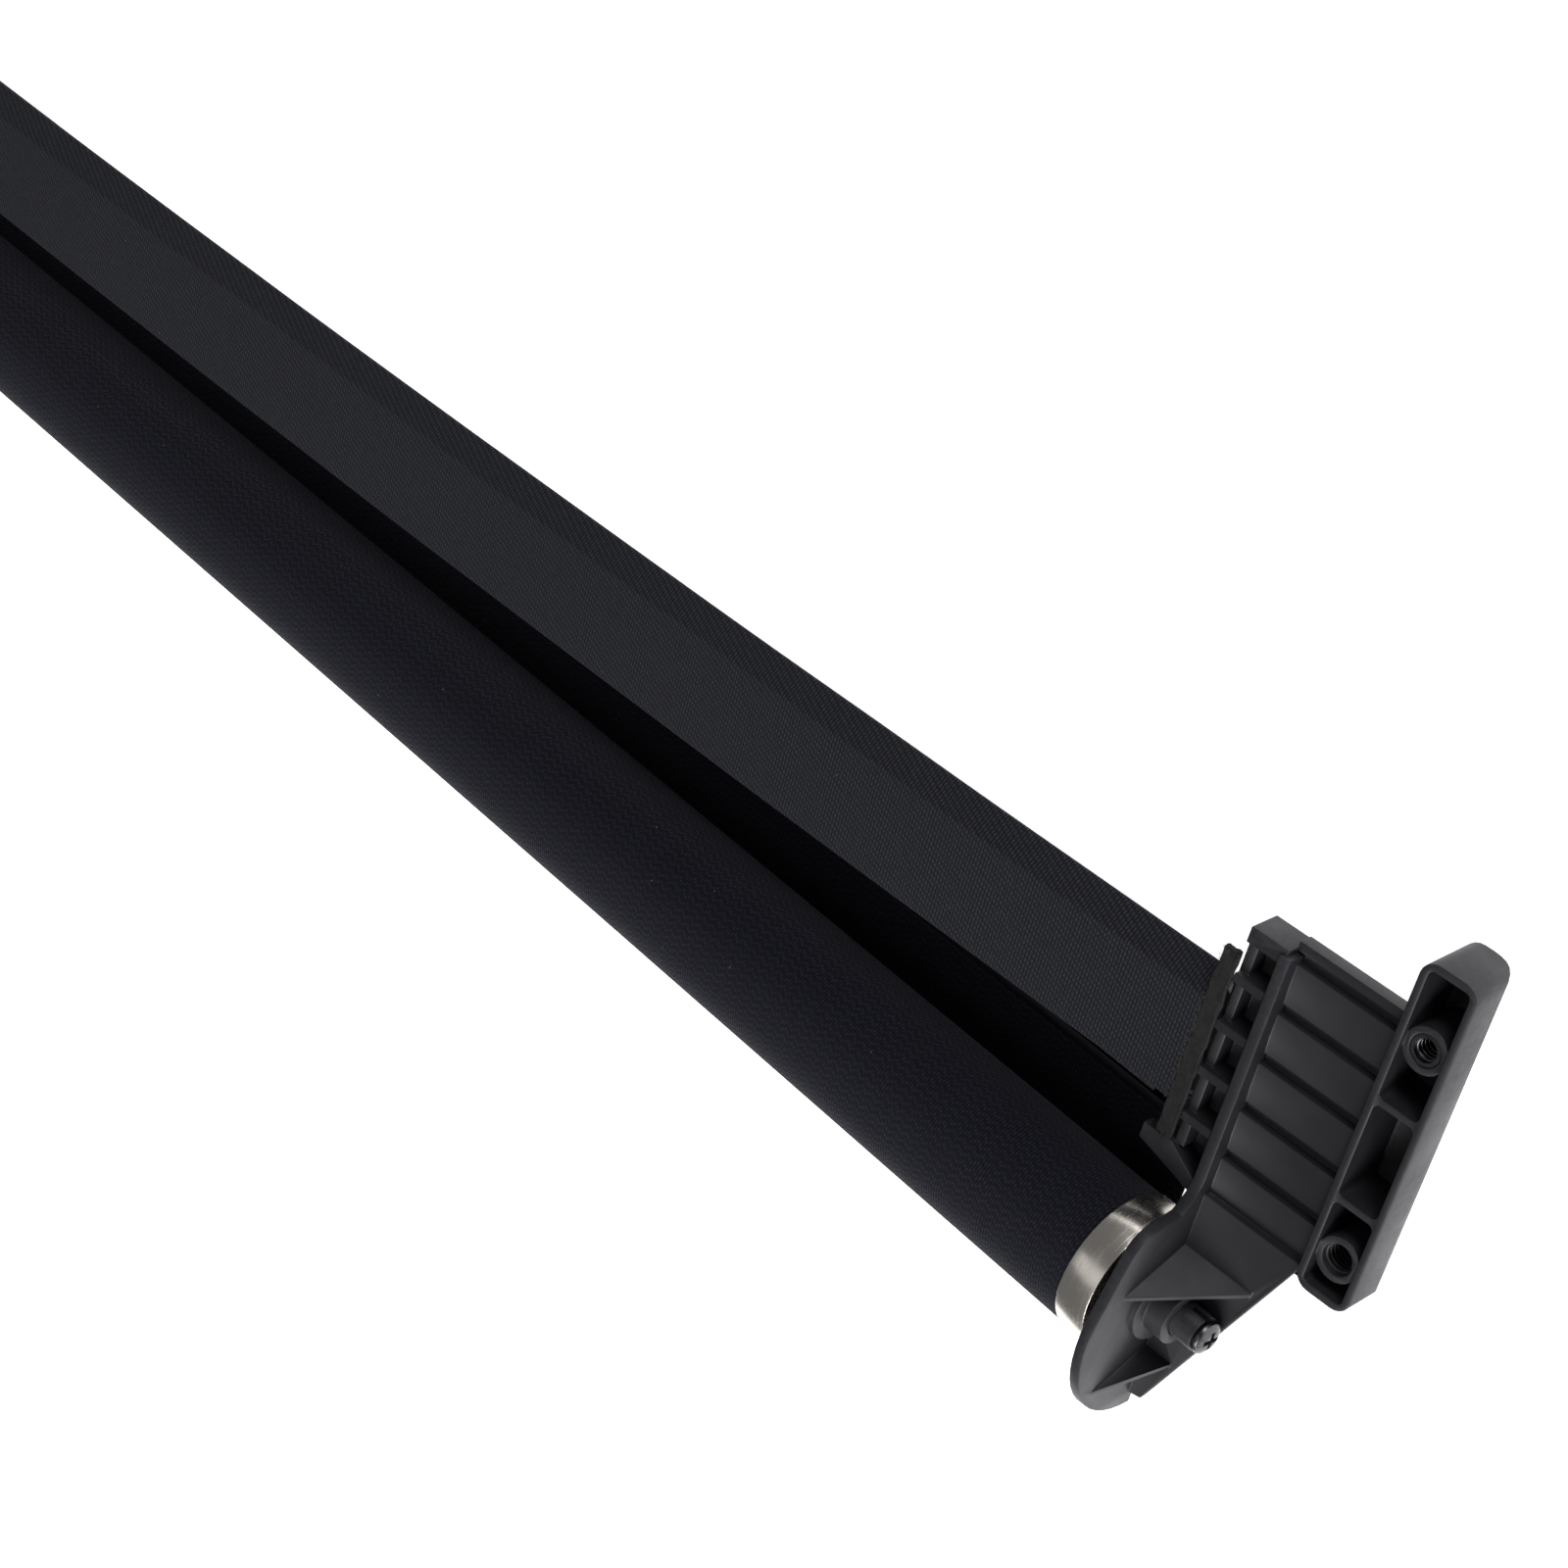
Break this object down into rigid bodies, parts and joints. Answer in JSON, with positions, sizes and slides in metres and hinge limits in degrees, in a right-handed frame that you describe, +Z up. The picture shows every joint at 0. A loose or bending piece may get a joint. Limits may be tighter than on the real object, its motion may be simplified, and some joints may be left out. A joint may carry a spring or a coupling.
{
  "type": "roller blind",
  "caption": "Spring roller blind for a vehicle roof: wound black curtain, metal end sleeves, fabric covered cross beam, pull bar and a moulded plastic bracket at each end.",
  "frame": {"origin": "Middle of the blind's footprint, on the plane of the lowest edge of the feet's closed backs.", "axes": "+X along the roller's axis towards the right bracket, +Y from the roller towards the cross beam and the way the curtain is pulled, +Z up, away from the feet's backs."},
  "size_m": [1.051, 0.1257, 0.0402],
  "materials": {
    "moulded_plastic": "satin black, fine moulded grain",
    "beam_plastic": "plain dark extrusion",
    "beam_fabric": "black figured weave, glued on",
    "curtain_fabric": "black twill weave, faint blue",
    "felt": "grey pressed felt, fibrous",
    "nickel": "bright nickel plate with turning marks",
    "zinc": "dull zinc plate",
    "dark_steel": "black zinc plate, slightly glossy",
    "spring_steel": "oiled spring wire",
    "acetal": "natural acetal",
    "aluminium": "plain extruded"
  },
  "bodies": {
    "carrier": {"right_bracket": "moulded_plastic", "left_bracket": "moulded_plastic", "right_axle_stub": "moulded_plastic", "left_axle_stub": "moulded_plastic", "right_axle_screw": "dark_steel", "left_axle_screw": "dark_steel", "right_felt_strip": "felt", "left_felt_strip": "felt", "right_thread_insert": "dark_steel", "left_thread_insert": "dark_steel", "beam_core": "beam_plastic", "beam_cover": "beam_fabric", "spring_arbor": "zinc", "spring_anchor": "acetal", "torsion_spring": "spring_steel"},
    "roller": {"roller_tube": "aluminium", "wound_curtain": "curtain_fabric", "curtain_fixing_tape": "felt", "right_end_sleeve": "nickel", "left_end_sleeve": "nickel", "right_axle_bush": "acetal", "left_axle_bush": "acetal", "spring_drive_plug": "acetal"},
    "puller": {"pull_bar": "aluminium", "hem_strip": "beam_plastic", "pull_grip": "moulded_plastic", "right_glider": "moulded_plastic", "left_glider": "moulded_plastic", "curtain_panel": "curtain_fabric"}
  },
  "joints": [
    {"name": "roller_spin", "type": "hinge", "parent": "carrier", "child": "roller", "pos_m": [0, -0.0345, 0.01911], "axis": [1, 0, 0], "range_deg": [0, 2750], "stiffness_Nm_per_rad": 0.002, "deforming": ["torsion_spring"]},
    {"name": "bar_slide", "type": "slide", "parent": "carrier", "child": "puller", "axis": [0, 1, 0], "range_m": [0, 0.7], "deforming": ["curtain_panel"]}
  ],
  "couplings": [
    {"joint": "bar_slide", "follows": "roller_spin", "m_per_rad": 0.01455}
  ]
}
